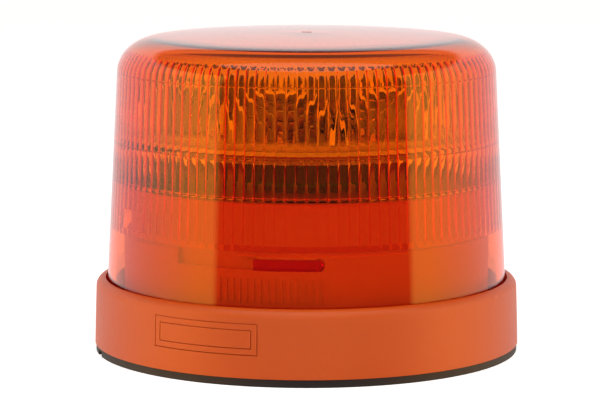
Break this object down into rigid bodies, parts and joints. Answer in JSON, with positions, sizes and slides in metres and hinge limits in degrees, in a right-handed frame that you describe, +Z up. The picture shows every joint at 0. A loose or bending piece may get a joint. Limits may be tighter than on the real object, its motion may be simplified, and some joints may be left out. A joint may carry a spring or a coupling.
{
  "type": "rotating beacon",
  "caption": "Low amber rotating beacon: round base with a gasket, fluted bayonet dome and a geared turntable of stepped LED reflectors.",
  "frame": {"origin": "centre of the gasket's underside, on the axis that the dome and the rotor share", "axes": "+Z up along the rotor axis, -Y towards the front of the base with the bare label place, +X to its right"},
  "size_m": [0.1668, 0.1668, 0.1244],
  "materials": {
    "aluminium_plate": "stamped sheet",
    "aluminium_turned": "turned",
    "amber_lens": "transparent amber polycarbonate, polished outside",
    "bearing_steel": "ground",
    "black_acetal": "moulded acetal",
    "black_moulding": "injection moulded, satin",
    "brass": "turned",
    "capacitor_sleeve": "shrink sleeve",
    "carbon": "pressed carbon",
    "chip_resin": "moulded epoxy",
    "circuit_board": "glass epoxy with solder resist",
    "copper_track": "gold flashed copper",
    "copper_winding": "enamelled copper wire",
    "gasket_rubber": "moulded EPDM, matt",
    "green_terminal": "moulded polyamide",
    "led_yellow": "silicone over phosphor",
    "metallised_plastic": "vacuum metallised",
    "motor_steel": "deep drawn, nickel plated",
    "natural_acetal": "moulded acetal, natural",
    "orange_housing": "injection moulded, fine spark texture",
    "seal_rubber": "moulded silicone, satin",
    "spring_steel": "phosphated",
    "white_board": "aluminium backed board, white resist",
    "zinc_steel": "zinc plated"
  },
  "bodies": {
    "base": {"base_gasket": "gasket_rubber", "base_housing": "orange_housing", "base_plate": "black_moulding", "mount_inserts": "brass", "plate_screws": "zinc_steel", "cable_grommet": "gasket_rubber", "dome_seal": "seal_rubber", "power_board": "circuit_board", "board_screws": "zinc_steel", "terminal_block": "green_terminal", "capacitors": "capacitor_sleeve", "choke": "copper_winding", "driver_chips": "chip_resin", "center_post": "black_moulding", "post_screws": "zinc_steel", "bearing_inner_races": "bearing_steel", "race_spacer": "aluminium_turned", "retaining_ring": "spring_steel", "brush_holder": "black_moulding", "brushes": "carbon", "motor_can": "motor_steel", "motor_gearbox": "motor_steel", "motor_bracket": "black_moulding", "bracket_screws": "zinc_steel"},
    "rotor": {"rotor_hub": "black_moulding", "bearing_outer_races": "bearing_steel", "turntable_disc": "aluminium_plate", "hub_screws": "zinc_steel", "slip_ring_board": "circuit_board", "slip_ring_tracks": "copper_track", "ring_gear": "natural_acetal", "gear_screws": "zinc_steel", "led_board": "white_board", "leds": "led_yellow", "reflectors": "metallised_plastic", "reflector_screws": "zinc_steel"},
    "pinion": {"pinion": "black_acetal", "motor_shaft": "bearing_steel"},
    "dome": {"dome_lens": "amber_lens"}
  },
  "joints": [
    {"name": "rotor_spin", "type": "hinge", "parent": "base", "child": "rotor", "pos_m": [0, 0, 0.082], "axis": [0, 0, 1], "continuous": true},
    {"name": "pinion_spin", "type": "hinge", "parent": "base", "child": "pinion", "pos_m": [-0.054, 0, 0.079], "axis": [0, 0, 1], "continuous": true},
    {"name": "dome_turn", "type": "hinge", "parent": "base", "child": "dome", "pos_m": [0, 0, 0.021], "axis": [0, 0, 1], "range_deg": [-26, 0]}
  ],
  "couplings": [
    {"joint": "pinion_spin", "follows": "rotor_spin", "ratio": -8}
  ]
}
